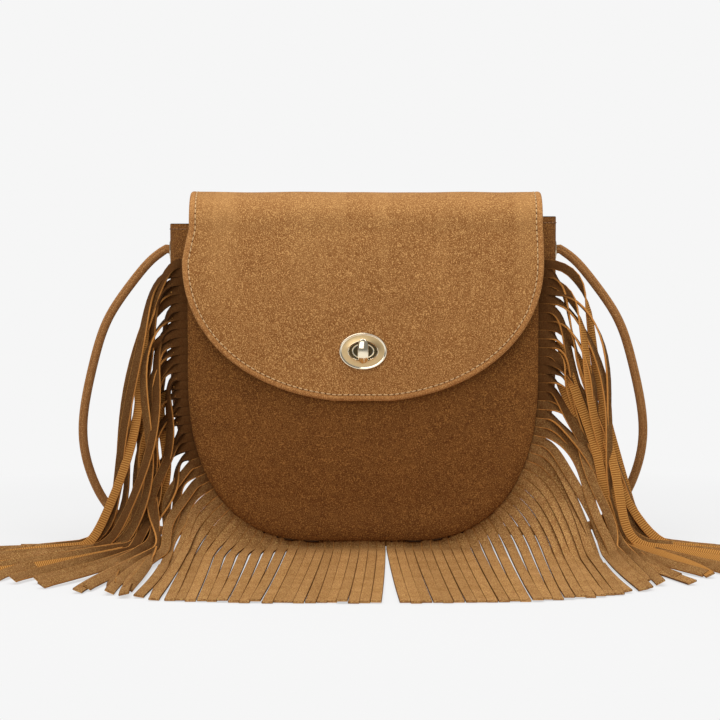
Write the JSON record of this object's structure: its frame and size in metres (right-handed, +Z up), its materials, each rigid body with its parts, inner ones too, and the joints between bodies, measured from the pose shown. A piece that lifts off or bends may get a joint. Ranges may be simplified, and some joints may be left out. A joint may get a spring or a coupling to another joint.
{
  "type": "fringed suede bag",
  "caption": "Saddle-shaped faux-suede crossbody bag with a turn-lock flap, a rolled strap and a long cut fringe sewn into its front seam",
  "frame": {"origin": "middle of the flat underside of the gusset, which the bag stands on", "axes": "+X across the bag to its right as seen from the front, -Y is the front with the flap and lock, +Z up"},
  "size_m": [0.5033, 0.3887, 0.2338],
  "materials": {
    "suede_brown": "matte brushed faux suede, brown",
    "suede_tan": "matte brushed faux suede, tan",
    "suede_fringe": "matte faux suede strips with a ribbed golden backing",
    "suede_strap": "rolled matte faux suede",
    "lining": "plain woven cloth",
    "gold": "polished pale gold plating"
  },
  "bodies": {
    "bag": {"front_panel": "suede_brown", "back_panel": "suede_brown", "gusset": "suede_brown", "lining": "lining", "flap": "suede_tan", "flap_lining": "suede_tan", "fringe_left": "suede_fringe", "fringe_right": "suede_fringe", "lock_plate": "gold", "lock_plate_backer": "gold", "lock_base": "gold", "lock_base_washer": "gold", "eyelet_left": "gold", "eyelet_right": "gold", "eyelet_washer_left": "gold", "eyelet_washer_right": "gold", "strap_left_run": "suede_strap", "strap_coil": "suede_strap", "strap_right_run": "suede_strap", "strap_knot_left": "suede_strap", "strap_knot_right": "suede_strap"},
    "knob": {"lock_knob": "gold", "lock_retainer": "gold"}
  },
  "joints": [
    {"name": "knob_turn", "type": "hinge", "parent": "bag", "child": "knob", "pos_m": [0, -0.038, 0.131], "axis": [0, -1, 0], "range_deg": [0, 90]}
  ]
}
